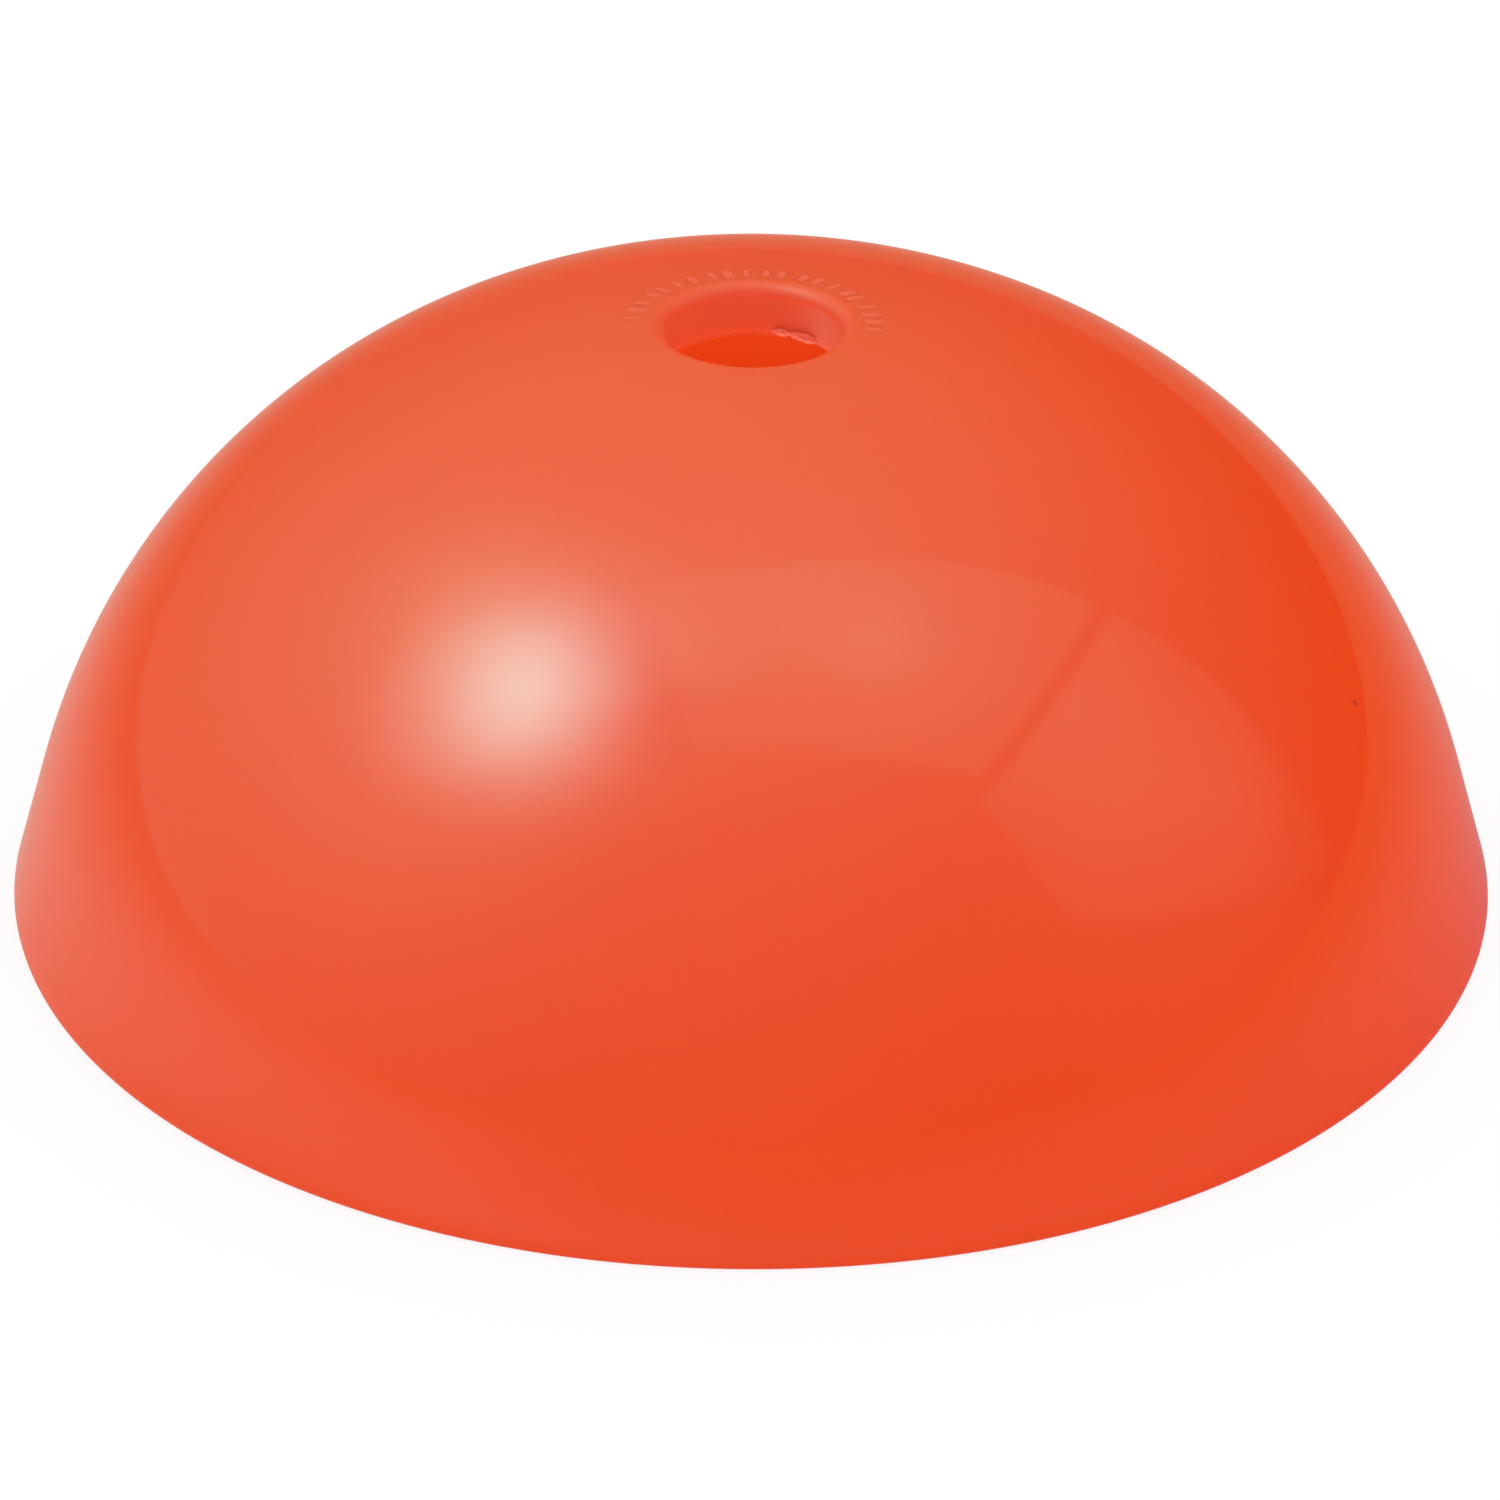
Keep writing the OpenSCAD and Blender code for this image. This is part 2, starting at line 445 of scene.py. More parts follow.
def plasticMaterial(name, look):
    material = bpy.data.materials.new(name)
    material.use_nodes = True
    tree = material.node_tree
    shader = tree.nodes["Principled BSDF"]

    def effect(group, **values):
        return put(tree, "ShaderNodeGroup", values, node_tree=groups[group]).outputs

    tones = {**plastic, **look}
    mottle = effect("mottle", Scale=look["mottle"], Light=(*tones["colour"], 1), Dark=(*tones["deep"], 1))
    scuffs = effect("scuffs", Scale=look["scuffScale"], Spread=look["scuffSpread"])
    specks = effect("specks", Scale=look["speckScale"], Share=look["speckShare"], Size=look["speckSize"])
    ripple = effect("ripple", Broad=look["broad"], Fine=look["fine"], Share=look["fineShare"])
    wearAndSheen = effect("wearAndSheen", Full=holeWearAndPaintedSheen["full"], Gone=holeWearAndPaintedSheen["gone"])["Mask"] if look.get("worn") else None
    toned = mottle["Color"]
    # painted sheen: round the hole the colour is mixed towards a paler tone that stands in for the light the
    # lip catches
    if wearAndSheen:
        paintedSheenShare = calc(tree, "MULTIPLY", wearAndSheen, holeWearAndPaintedSheen["paintedSheenShare"])
        toned = mixed(tree, "RGBA", paintedSheenShare, toned, (*holeWearAndPaintedSheen["paintedSheenColour"], 1))
    dusted = mixed(tree, "RGBA", specks["Mask"], toned, (*plastic["speck"], 1))
    plug(tree, dusted, shader.inputs["Base Color"])
    rough = calc(tree, "MULTIPLY_ADD", mottle["Patch"], look["roughPatch"], look["rough"])
    rough = calc(tree, "MULTIPLY_ADD", scuffs["Mask"], look["roughScuff"], rough)
    if wearAndSheen:
        rough = calc(tree, "MULTIPLY_ADD", wearAndSheen, holeWearAndPaintedSheen["rough"], rough)
    plug(tree, rough, shader.inputs["Roughness"])
    bump = put(tree, "ShaderNodeBump", {
        "Height": ripple["Height"], "Strength": plastic["relief"], "Distance": look["bump"]})
    plug(tree, bump.outputs[0], shader.inputs["Normal"])
    shader.subsurface_method = "RANDOM_WALK"
    constants = {
        "IOR": plastic["ior"],
        "Specular IOR Level": tones["shine"],
        "Subsurface Weight": tones["scatterWeight"],
        "Subsurface Radius": plastic["scatter"],
        "Subsurface Scale": plastic["scatterDepth"],
    }
    for title, value in constants.items():
        shader.inputs[title].default_value = value
    return material


materials = {name: plasticMaterial(name, look) for name, look in finishes.items()}
print("finishes made,", len(materials), "materials")

shellInputs = {
    "Spokes": shell["spokes"],
    "Wave Depth": shell["waveDepth"],
    "Wave Scale": shell["waveScale"],
    "Outside": materials["dome_outside"],
    "Lip": materials["dome_lip"],
    "Hole": materials["dome_hole"],
    "Edge": materials["dome_bore_edge"],
    "Inside": materials["dome_inside"],
}
for kind, name, values, rings in shellSection:
    for title, value in values.items():
        shellInputs[name + " " + title] = value
mouldedShell = grown("moulded_shell", shellTree(shellSection), shellInputs)
print("shell made,", len(mouldedShell.data.polygons), "faces")
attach(mouldedShell, "root")
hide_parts("dome_shell")

# low raised grip bars in an arc behind the pole hole
gripBars = {
    "count": 21,
    "from": math.radians(-5),
    "sweep": math.radians(178),
    "middle": shell["holeRadius"] + 4.65 * mm,
    "length": 3.2 * mm,
    "width": 1.6 * mm,
    "proud": 0.03 * mm,
    "depth": 0.7 * mm,
    "shorter": 0.2,  # the most that wear took off a bar's length, as a share
    "thinner": 0.5,  # and off its width
    "jitter": 0.4 * mm,
    "seed": 7,
}


def gripBarTree():
    tree, given, out = newTree("gripBars", "GeometryNodeTree", {
        "Count": ("Int", 9), "From": ("Float", 0.0), "Sweep": ("Float", 1.0), "Middle": ("Float", 0.017),
        "Length": ("Float", 0.002), "Width": ("Float", 0.0006), "Depth": ("Float", 0.0007),
        "Top": ("Float", 0.09), "Lean": ("Float", 0.0), "Shorter": ("Float", 0.1), "Thinner": ("Float", 0.3),
        "Jitter": ("Float", 0.0003), "Seed": ("Int", 1), "Skin": ("Material", None)}, {"Mesh": "Geometry"})
    bar = put(tree, "GeometryNodeMeshCube", {
        "Size": put(tree, "ShaderNodeCombineXYZ", {
            "X": given["Length"], "Y": given["Width"], "Z": given["Depth"]}).outputs[0],
        "Vertices X": 5, "Vertices Y": 3, "Vertices Z": 3})
    soft = put(tree, "GeometryNodeSubdivisionSurface", {"Mesh": bar.outputs["Mesh"], "Level": 2})
    row = put(tree, "GeometryNodeMeshLine", {"Count": given["Count"]})
    order = put(tree, "GeometryNodeInputIndex").outputs[0]
    last = calc(tree, "SUBTRACT", given["Count"], 1.0)
    spin = calc(tree, "MULTIPLY_ADD", calc(tree, "DIVIDE", order, last), given["Sweep"], given["From"])
    low = calc(tree, "MULTIPLY_ADD", given["Depth"], -0.5, given["Top"])
    slip = put(tree, "FunctionNodeRandomValue", {
        "Min": calc(tree, "MULTIPLY", given["Jitter"], -1.0), "Max": given["Jitter"],
        "ID": order, "Seed": given["Seed"]}, data_type="FLOAT").outputs[1]
    spin = calc(tree, "ADD", spin, calc(tree, "DIVIDE", slip, given["Middle"]))
    placed = put(tree, "GeometryNodeSetPosition", {
        "Geometry": row.outputs[0], "Position": turned(tree, given["Middle"], low, spin)})
    # worn bars: each one a little shorter and narrower than drawn, by its own share
    worn = put(tree, "FunctionNodeRandomValue", {
        "Min": put(tree, "ShaderNodeCombineXYZ", {
            "X": calc(tree, "SUBTRACT", 1.0, given["Shorter"]),
            "Y": calc(tree, "SUBTRACT", 1.0, given["Thinner"]),
            "Z": 1.0}).outputs[0],
        "Max": (1.0, 1.0, 1.0), "ID": order, "Seed": given["Seed"]}, data_type="FLOAT_VECTOR")
    bars = put(tree, "GeometryNodeInstanceOnPoints", {
        "Points": placed.outputs[0], "Instance": soft.outputs[0], "Scale": worn.outputs[0],
        "Rotation": put(tree, "ShaderNodeCombineXYZ", {"Y": given["Lean"], "Z": spin}).outputs[0]})
    real = put(tree, "GeometryNodeRealizeInstances", {"Geometry": bars.outputs[0]})
    smooth = put(tree, "GeometryNodeSetShadeSmooth", {"Geometry": real.outputs[0]})
    skin = put(tree, "GeometryNodeSetMaterial", {"Geometry": smooth.outputs[0], "Material": given["Skin"]})
    plug(tree, skin.outputs[0], out["Mesh"])
    return tree


# the bars lie on the shoulder arc and lean with it
barLean = math.asin((gripBars["middle"] - shoulderCentre.x) / shoulderRadius)
barTop = shoulderCentre.z + shoulderRadius * math.cos(barLean) + gripBars["proud"]
crownBars = grown("crown_grip_bars", gripBarTree(), {
    **titled(gripBars), "Top": barTop, "Lean": barLean, "Skin": materials["dome_raised"]})
print("grip bars made,", len(crownBars.data.polygons), "faces")
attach(crownBars, "root")

# the torn burr that trimming left low on the wall of the pole hole
trimBurr = {
    "from": math.radians(40),
    "sweep": math.radians(38),
    "radius": shell["holeRadius"],
    "height": poleHole["pos_m"][2] - poleHole["dims"]["length_mm"] / 2 * mm + 0.32 * mm,
    "bulge": 0.75 * mm,
    "tall": 0.85 * mm,
    "lumps": 520.0,
    "thinnest": 0.12,  # share of the full size that is left between two lumps
    "taper": 0.6,
    "tears": 1300.0,
    "torn": 0.5 * mm,
    "along": 120,
    "round": 20,
}


def trimBurrTree():
    # a tube along the wall, thick and thin by a noise, closed at both ends and then torn by a finer noise
    tree, given, out = newTree("trimBurr", "GeometryNodeTree", {
        "From": ("Float", 0.0), "Sweep": ("Float", 1.0), "Radius": ("Float", 0.013),
        "Height": ("Float", 0.08), "Bulge": ("Float", 0.0005), "Tall": ("Float", 0.0008),
        "Lumps": ("Float", 400.0), "Low": ("Float", 0.35), "High": ("Float", 0.65),
        "Thinnest": ("Float", 0.1), "Taper": ("Float", 0.5), "Tears": ("Float", 1000.0),
        "Torn": ("Float", 0.0003), "Along": ("Int", 60), "Round": ("Int", 16),
        "Skin": ("Material", None)}, {"Mesh": "Geometry"})
    sheet = put(tree, "GeometryNodeMeshGrid", {
        "Size X": 1.0, "Size Y": 1.0, "Vertices X": given["Along"], "Vertices Y": given["Round"]})
    spot = put(tree, "ShaderNodeSeparateXYZ", {0: put(tree, "GeometryNodeInputPosition").outputs[0]}).outputs
    share = calc(tree, "ADD", spot["X"], 0.5)
    turn = calc(tree, "MULTIPLY", spot["Y"], -math.tau)
    spin = calc(tree, "MULTIPLY_ADD", share, given["Sweep"], given["From"])
    line = turned(tree, given["Radius"], given["Height"], spin)
    uneven = put(tree, "ShaderNodeTexNoise", {"Vector": line, "Scale": given["Lumps"], "Detail": 1.0})
    lump = put(tree, "ShaderNodeMapRange", {
        "Value": uneven.outputs[0], "From Min": given["Low"], "From Max": given["High"],
        "To Min": given["Thinnest"]}).outputs[0]
    ends = calc(tree, "MAXIMUM", calc(tree, "SINE", calc(tree, "MULTIPLY", share, math.pi)), 0.0)
    size = calc(tree, "MULTIPLY", lump, calc(tree, "POWER", ends, given["Taper"]))
    inward = calc(tree, "MULTIPLY", calc(tree, "MULTIPLY", calc(tree, "COSINE", turn), given["Bulge"]), size)
    upward = calc(tree, "MULTIPLY", calc(tree, "MULTIPLY", calc(tree, "SINE", turn), given["Tall"]), size)
    across = calc(tree, "SUBTRACT", given["Radius"], inward)
    up = calc(tree, "ADD", given["Height"], upward)
    rolled = put(tree, "GeometryNodeSetPosition", {
        "Geometry": sheet.outputs["Mesh"], "Position": turned(tree, across, up, spin)})
    closed = put(tree, "GeometryNodeMergeByDistance", {
        "Geometry": rolled.outputs[0], "Distance": mergeGap})
    place = put(tree, "GeometryNodeInputPosition").outputs[0]
    shred = put(tree, "ShaderNodeTexNoise", {"Vector": place, "Scale": given["Tears"]})
    shift = put(tree, "ShaderNodeVectorMath", {
        0: shred.outputs["Color"], 1: (0.5, 0.5, 0.5)}, operation="SUBTRACT")
    pull = put(tree, "ShaderNodeVectorMath", {0: shift.outputs[0], "Scale": given["Torn"]}, operation="SCALE")
    torn = put(tree, "GeometryNodeSetPosition", {"Geometry": closed.outputs[0], "Offset": pull.outputs[0]})
    smooth = put(tree, "GeometryNodeSetShadeSmooth", {"Geometry": torn.outputs[0]})
    real = put(tree, "GeometryNodeRealizeInstances", {"Geometry": smooth.outputs[0]})
    skin = put(tree, "GeometryNodeSetMaterial", {"Geometry": real.outputs[0], "Material": given["Skin"]})
    plug(tree, skin.outputs[0], out["Mesh"])
    return tree


holeBurr = grown("hole_trim_burr", trimBurrTree(), {
    **titled(trimBurr), "Skin": materials["dome_trimmed"]})
print("trim burr made,", len(holeBurr.data.polygons), "faces")
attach(holeBurr, "root")

# the studio: what the gloss mirrors is laid out by direction, plain surfaces get an even light
studio = {
    "fill": 1.12,  # the light that falls on plain surfaces
    "paper": 1.0,  # what the camera sees behind the dome
    # red, green and blue of the key light and of the room, in the gloss
    "keyTint": (0.165, 0.94, 0.87),
    "roomTint": (0.111, 1.0, 0.736),
    # red and blue that the sky adds, and how they change along the horizon and towards the back
    "skyRed": 0.316,
    "horizonRed": 0.412,
    "horizonFall": 15.0,
    "horizonFront": 0.6,
    "horizonBlueLoss": 0.5,
    "skyBlue": 0.221,
    "skyBlueLoss": 0.254,
    # the room's broad light and shade: a level, and glows whose headings and spreads are in degrees
    "level": 0.232,
    "glows": [
        {"turn": -169.5, "height": 45.2, "spread": 17.6, "strength": 0.353},
        {"turn": -119.3, "height": 35.3, "spread": 21.3, "strength": 0.847},
        {"turn": -105.0, "height": 54.3, "spread": 8.8, "strength": 1.53},
        {"turn": -75.2, "height": 42.9, "spread": 22.5, "strength": 1.37},
        {"turn": 12.5, "height": 47.8, "spread": 36.7, "strength": 0.929},
        {"turn": -121.9, "height": 85.2, "spread": 18.4, "strength": 0.714},
        {"turn": 114.3, "height": 64.7, "spread": 34.5, "strength": 1.811},
        {"turn": 71.3, "height": 25.5, "spread": 13.3, "strength": 0.349},
        {"turn": 81.0, "height": 50.8, "spread": 48.8, "strength": -1.41},
        {"turn": -59.3, "height": 68.1, "spread": 7.6, "strength": -2.526},
        {"turn": 93.5, "height": 20.5, "spread": 8.1, "strength": 0.307},
        {"turn": -99.3, "height": -23.8, "spread": 16.3, "strength": 0.985},
        {"turn": 75.1, "height": -3.2, "spread": 26.1, "strength": 0.388},
        {"turn": -53.3, "height": -6.0, "spread": 21.4, "strength": 0.202},
    ],
    # two small bright spots high overhead
    "spots": [
        {"turn": 75.9, "height": 74.3, "spread": 4.1, "strength": 0.52},
        {"turn": -47.3, "height": 78.1, "spread": 5.6, "strength": 0.723},
    ],
    # the round key light, and its soft eight-sided surround
    "keys": [
        {"turn": -72.5, "height": 59.6, "spread": 9.1, "strength": 10.954},
        {"turn": -72.5, "height": 59.6, "spread": 16.9, "strength": -0.104},
    ],
    "softbox": {"corners": [(-92.1, 63.7), (-104.8, 54.6), (-101.3, 43.7), (-91.0, 36.6),
                            (-78.9, 35.6), (-67.8, 40.9), (-61.5, 51.1), (-68.3, 61.7)],
                "edge": 0.086, "strength": 0.708},
    # the two straight-edged panels, each with a glow on it
    "panels": [
        {"corners": [(-125.2, 74.4), (114.9, 51.5), (112.9, 44.7), (56.7, 49.5), (-19.3, 63.8)],
         "edge": 0.014, "base": 0.322, "turn": 75.4, "height": 69.7, "spread": 10.7, "strength": 0.435},
        {"corners": [(111.6, 42.9), (104.9, 2.6), (91.7, 6.6), (62.0, 21.0), (55.8, 24.6), (52.5, 46.4)],
         "edge": 0.014, "base": 0.069, "turn": 82.0, "height": 44.2, "spread": 15.9, "strength": 0.604},
    ],
}


def heading(turn, height):
    # turn is counted from the camera's side towards +X, both in degrees
    turn, height = math.radians(turn), math.radians(height)
    level = math.cos(height)
    return Vector((level * math.sin(turn), -level * math.cos(turn), math.sin(height)))


def glowTree():
    tree, given, out = newTree("lampGlow", "ShaderNodeTree", {
        "Ray": ("Vector", None), "Heading": ("Vector", None), "Spread": ("Float", 10.0),
        "Strength": ("Float", 1.0)}, {"Light": "Float"})
    facing = put(tree, "ShaderNodeVectorMath", {
        0: given["Ray"], 1: given["Heading"]}, operation="DOT_PRODUCT")
    angle = calc(tree, "ARCCOSINE", facing.outputs["Value"])
    ratio = calc(tree, "DIVIDE", angle, calc(tree, "MULTIPLY", given["Spread"], math.pi / 180))
    fall = calc(tree, "MULTIPLY", calc(tree, "MULTIPLY", ratio, ratio), -0.5)
    plug(tree, calc(tree, "MULTIPLY", calc(tree, "EXPONENT", fall), given["Strength"]), out["Light"])
    return tree


def panelEdgeTree():
    # one straight edge of a soft panel: the plane through the dome and that edge
    tree, given, out = newTree("panelEdge", "ShaderNodeTree", {
        "Ray": ("Vector", None), "Wall": ("Vector", None), "Softness": ("Float", 0.05)}, {"Inside": "Float"})
    past = put(tree, "ShaderNodeVectorMath", {0: given["Ray"], 1: given["Wall"]}, operation="DOT_PRODUCT")
    inside = put(tree, "ShaderNodeMapRange", {
        "Value": past.outputs["Value"], "From Min": calc(tree, "MULTIPLY", given["Softness"], -1.0),
        "From Max": given["Softness"]}, interpolation_type="SMOOTHSTEP")
    plug(tree, inside.outputs[0], out["Inside"])
    return tree


def studioWorld():
    world = bpy.data.worlds.new("studio")
    bpy.context.scene.world = world
    world.use_nodes = True
    world.cycles.sampling_method = "NONE"
    tree = world.node_tree
    ray = put(tree, "ShaderNodeTexCoord").outputs["Generated"]
    place = put(tree, "ShaderNodeSeparateXYZ", {0: ray}).outputs

    def effect(group, **values):
        return put(tree, "ShaderNodeGroup", values, node_tree=group).outputs[0]

    glow, edge = glowTree(), panelEdgeTree()

    def lamps(light, looks):
        for lamp in looks:
            towards = heading(lamp["turn"], lamp["height"])
            spot = effect(glow, Ray=ray, Heading=towards, Spread=lamp["spread"], Strength=lamp["strength"])
            light = calc(tree, "ADD", light, spot)
        return light

    def sheet(light, panel):
        corners = [heading(turn, height) for turn, height in panel["corners"]]
        middle = sum(corners, Vector())
        for corner, following in zip(corners, corners[1:] + corners[:1]):
            wall = corner.cross(following).normalized()
            wall = wall if wall.dot(middle) > 0 else -wall
            light = calc(tree, "MULTIPLY", light, effect(edge, Ray=ray, Wall=wall, Softness=panel["edge"]))
        return light

    room = lamps(calc(tree, "MAXIMUM", lamps(studio["level"], studio["glows"]), 0.0), studio["spots"])
    for panel in studio["panels"]:
        room = calc(tree, "ADD", room, sheet(lamps(panel["base"], [panel]), panel))
    softbox = sheet(studio["softbox"]["strength"], studio["softbox"])
    key = calc(tree, "ADD", lamps(0.0, studio["keys"]), softbox)
    # red gathers along the horizon, most of all at the back; blue thins out low in front and over the back
    up = calc(tree, "ARCSINE", calc(tree, "MAXIMUM", place["Z"], 0.0))
    low = calc(tree, "EXPONENT", calc(tree, "DIVIDE", up, -math.radians(studio["horizonFall"])))
    behind = calc(tree, "MAXIMUM", place["Y"], 0.0)
    before = calc(tree, "MAXIMUM", calc(tree, "MULTIPLY", place["Y"], -1.0), 0.0)
    around = calc(tree, "MULTIPLY_ADD", before, studio["horizonFront"], behind)
    skyBlue = calc(tree, "MULTIPLY_ADD", calc(tree, "MULTIPLY", low, before),
                   -studio["horizonBlueLoss"] * studio["skyBlue"], studio["skyBlue"])
    skyRed = calc(tree, "MULTIPLY_ADD", calc(tree, "MULTIPLY", low, around),
                  studio["horizonRed"], studio["skyRed"])
    skyBlue = calc(tree, "MULTIPLY_ADD", behind, -studio["skyBlueLoss"], skyBlue)
    extra = {"X": skyRed, "Y": 0.0, "Z": calc(tree, "MAXIMUM", skyBlue, 0.0)}
    tone = {}
    for axis, keyShare, roomShare in zip("XYZ", studio["keyTint"], studio["roomTint"]):
        part = calc(tree, "MULTIPLY_ADD", key, keyShare, extra[axis])
        tone[axis] = calc(tree, "MULTIPLY_ADD", room, roomShare, part)
    path = put(tree, "ShaderNodeLightPath").outputs
    level = calc(tree, "MULTIPLY_ADD", path["Is Camera Ray"],
                 studio["paper"] - studio["fill"], studio["fill"])
    plain = put(tree, "ShaderNodeBackground", {"Color": (1, 1, 1, 1), "Strength": level})
    colour = put(tree, "ShaderNodeCombineXYZ", tone).outputs[0]
    mirrored = put(tree, "ShaderNodeBackground", {"Color": colour, "Strength": 1.0})
    seen = put(tree, "ShaderNodeMixShader", {
        0: path["Is Glossy Ray"], 1: plain.outputs[0], 2: mirrored.outputs[0]})
    plug(tree, seen.outputs[0], tree.nodes["World Output"].inputs["Surface"])


studioWorld()

# the floor: white paper with a faint shadow to the camera, and what the gloss mirrors of it
floorLook = {
    "halfSide": 12.0,
    "bounce": 0.95,  # how light the paper is
    "shadow": 0.2,  # how much of the dome's shadow the camera sees
    # the mirrored glow: a lobe on the key light's side over a level, and more near the dome
    "turn": -50.7,
    "narrow": 2.333,
    "bright": 0.753,
    "far": 0.202,
    "near": 0.218,
    "nearFall": 0.17,
    # the shade close to the foot
    "foot": shell["footRadius"],
    "shade": 0.492,
    "shadeFall": 0.034,
    # the lobes fade with distance on the camera's side
    "farFall": 0.35,
    "farLoss": 0.5,
    "farWide": 1.5,
    "nearest": 1 * mm,  # no distance counts as less, so that nothing is divided by zero
    # red and blue follow the glow by a share, from a base, and add a lobe of their own
    "red": {"share": 0.475, "base": 0.565, "turn": 0.0, "narrow": 4.3, "bright": 0.55},
    "blue": {"share": 1.051, "base": -0.1, "turn": 40.0, "narrow": 1.9, "bright": 0.21},
}


def floorMaterial():
    material = bpy.data.materials.new("studio_floor")
    material.use_nodes = True
    tree = material.node_tree
    tree.nodes.clear()
    path = put(tree, "ShaderNodeLightPath").outputs
    place = put(tree, "ShaderNodeSeparateXYZ", {0: put(tree, "ShaderNodeTexCoord").outputs["Object"]}).outputs
    spread = calc(tree, "SQRT", calc(tree, "MULTIPLY_ADD", place["X"], place["X"],
                                     calc(tree, "MULTIPLY", place["Y"], place["Y"])))
    away = calc(tree, "MAXIMUM", spread, floorLook["nearest"])
    past = calc(tree, "MAXIMUM", calc(tree, "SUBTRACT", spread, floorLook["foot"]), 0.0)

    def falling(length):
        # full at the foot and fading outwards
        return calc(tree, "EXPONENT", calc(tree, "DIVIDE", past, -length))

    before = calc(tree, "DIVIDE", calc(tree, "MULTIPLY", place["Y"], -floorLook["farWide"]), away)
    loss = calc(tree, "MULTIPLY", calc(tree, "MINIMUM", calc(tree, "MAXIMUM", before, 0.0), 1.0),
                floorLook["farLoss"])
    gone = calc(tree, "SUBTRACT", 1.0, falling(floorLook["farFall"]))
    fade = calc(tree, "SUBTRACT", 1.0, calc(tree, "MULTIPLY", loss, gone))

    def lobe(look):
        side = heading(look["turn"], 0)
        along = calc(tree, "MULTIPLY_ADD", place["X"], side.x, calc(tree, "MULTIPLY", place["Y"], side.y))
        aligned = calc(tree, "SUBTRACT", calc(tree, "DIVIDE", along, away), 1.0)
        shape = calc(tree, "EXPONENT", calc(tree, "MULTIPLY", aligned, look["narrow"]))
        return calc(tree, "MULTIPLY", shape, fade)

    glow = calc(tree, "MULTIPLY_ADD", lobe(floorLook), floorLook["bright"], floorLook["far"])
    glow = calc(tree, "MULTIPLY_ADD", falling(floorLook["nearFall"]), floorLook["near"], glow)
    shade = calc(tree, "MULTIPLY_ADD", falling(floorLook["shadeFall"]), -floorLook["shade"], 1.0)
    glow = calc(tree, "MULTIPLY", glow, shade)

    def tinted(look):
        tint = calc(tree, "MULTIPLY_ADD", glow, look["share"], look["base"])
        return calc(tree, "MULTIPLY_ADD", lobe(look), look["bright"], tint)

    mirrored = put(tree, "ShaderNodeCombineXYZ", {
        "X": tinted(floorLook["red"]), "Y": glow,
        "Z": calc(tree, "MAXIMUM", tinted(floorLook["blue"]), 0.0)}).outputs[0]
    level = calc(tree, "MULTIPLY_ADD", path["Is Camera Ray"],
                 floorLook["shadow"] - floorLook["bounce"], floorLook["bounce"])
    tone = put(tree, "ShaderNodeCombineXYZ", {"X": level, "Y": level, "Z": level})
    plain = put(tree, "ShaderNodeBsdfDiffuse", {"Color": tone.outputs[0]})
    white = put(tree, "ShaderNodeEmission", {
        "Strength": calc(tree, "MULTIPLY", path["Is Camera Ray"], studio["paper"] - floorLook["shadow"])})
    paper = put(tree, "ShaderNodeAddShader", {0: plain.outputs[0], 1: white.outputs[0]})
    shine = put(tree, "ShaderNodeEmission", {"Color": mirrored, "Strength": 1.0})
    seen = put(tree, "ShaderNodeMixShader", {
        0: path["Is Glossy Ray"], 1: paper.outputs[0], 2: shine.outputs[0]})
    # from below, the camera looks through the floor
    below = calc(tree, "MULTIPLY", put(tree, "ShaderNodeNewGeometry").outputs["Backfacing"],
                 path["Is Camera Ray"])
    clear = put(tree, "ShaderNodeBsdfTransparent")
    cover = put(tree, "ShaderNodeMixShader", {0: below, 1: seen.outputs[0], 2: clear.outputs[0]})
    put(tree, "ShaderNodeOutputMaterial", {"Surface": cover.outputs[0]})
    return material


def studioFloor():
    mesh = bpy.data.meshes.new("studio_floor")
    half = floorLook["halfSide"]
    corners = [(-half, -half, 0), (half, -half, 0), (half, half, 0), (-half, half, 0)]
    mesh.from_pydata(corners, [], [(0, 1, 2, 3)])
    mesh.materials.append(floorMaterial())
    floor = bpy.data.objects.new("studio_floor", mesh)
    bpy.context.collection.objects.link(floor)


studioFloor()
print("studio laid out,", len(studio["glows"]), "glows and", len(studio["panels"]), "panels")

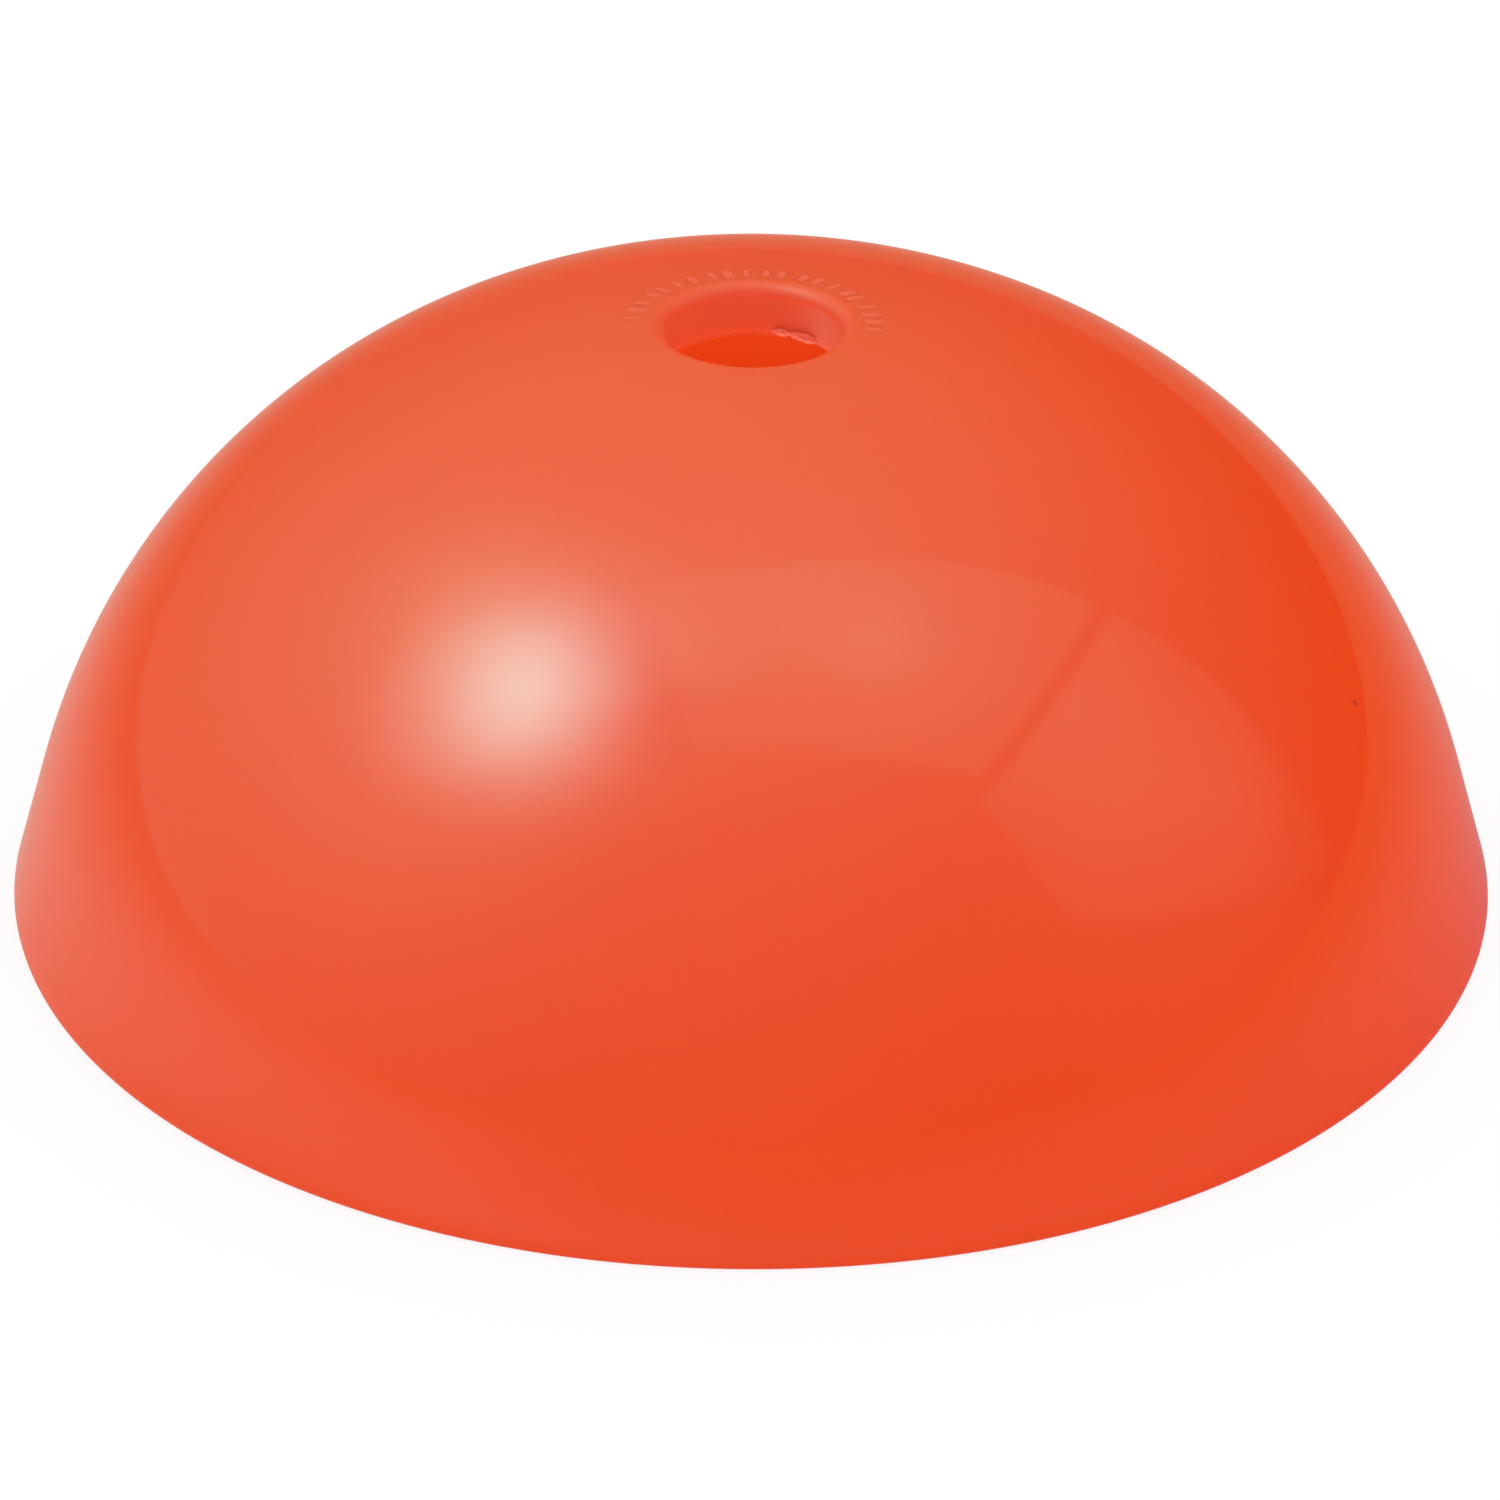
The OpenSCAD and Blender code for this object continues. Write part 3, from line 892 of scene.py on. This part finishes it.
# small lamps at the hole: the light that the thin wall lets into the hollow, and a gleam on the hole's wall
holeLamps = {
    "hollow_light": {
        "place": (0, 0, 35 * mm),
        "radius": 25 * mm,
        "power": 0.1595,
        "colour": (0.63, 0.97, 0.95),
        "matt": True,
        "gloss": False,
    },
    "hole_gleam": {
        "place": (-25 * mm, 14 * mm, 62 * mm),
        "radius": 12 * mm,
        "power": 0.0135,
        "colour": (0.2, 1.0, 0.9),
        "matt": False,
        "gloss": True,
    },
}


def holeLamp(name, look):
    data = bpy.data.lights.new(name, "POINT")
    data.shadow_soft_size = look["radius"]
    data.energy = look["power"]
    data.color = look["colour"]
    lamp = bpy.data.objects.new(name, data)
    lamp.location = look["place"]
    lamp.visible_camera = False
    lamp.visible_diffuse = look["matt"]
    lamp.visible_glossy = look["gloss"]
    bpy.context.collection.objects.link(lamp)


for name, look in holeLamps.items():
    holeLamp(name, look)
print("hole lamps set,", len(holeLamps))

# the camera that the photograph was taken with, as fitted to the dome's outline: angles in degrees
cameraLook = {
    "elevation": 30.2257,
    "distance": 1.01804,
    "pitch": 29.2641,
    "pan": -0.0166,
    "roll": 0.1915,
    "focal": 6789.89,  # in pixels of a picture that is imageSide wide
    "imageSide": 1500.0,
    "sensor": 36.0,
    "farthest": 100.0,
}


def photoCamera():
    data = bpy.data.cameras.new("photo_camera")
    data.sensor_width = cameraLook["sensor"]
    data.lens = cameraLook["focal"] * cameraLook["sensor"] / cameraLook["imageSide"]
    data.clip_end = cameraLook["farthest"]
    camera = bpy.data.objects.new("photo_camera", data)
    bpy.context.collection.objects.link(camera)
    up = math.radians(cameraLook["elevation"])
    place = Vector((0, -math.cos(up), math.sin(up))) * cameraLook["distance"]
    turn = Matrix.Rotation(-math.radians(cameraLook["pan"]), 4, "Z")
    tilt = Matrix.Rotation(math.radians(90 - cameraLook["pitch"]), 4, "X")
    roll = Matrix.Rotation(math.radians(cameraLook["roll"]), 4, "Z")
    camera.matrix_world = Matrix.Translation(place) @ turn @ tilt @ roll
    bpy.context.scene.camera = camera


photoCamera()
bpy.context.scene.view_settings.view_transform = "Standard"
print("camera set,", cameraLook["distance"], "m from the dome's foot")
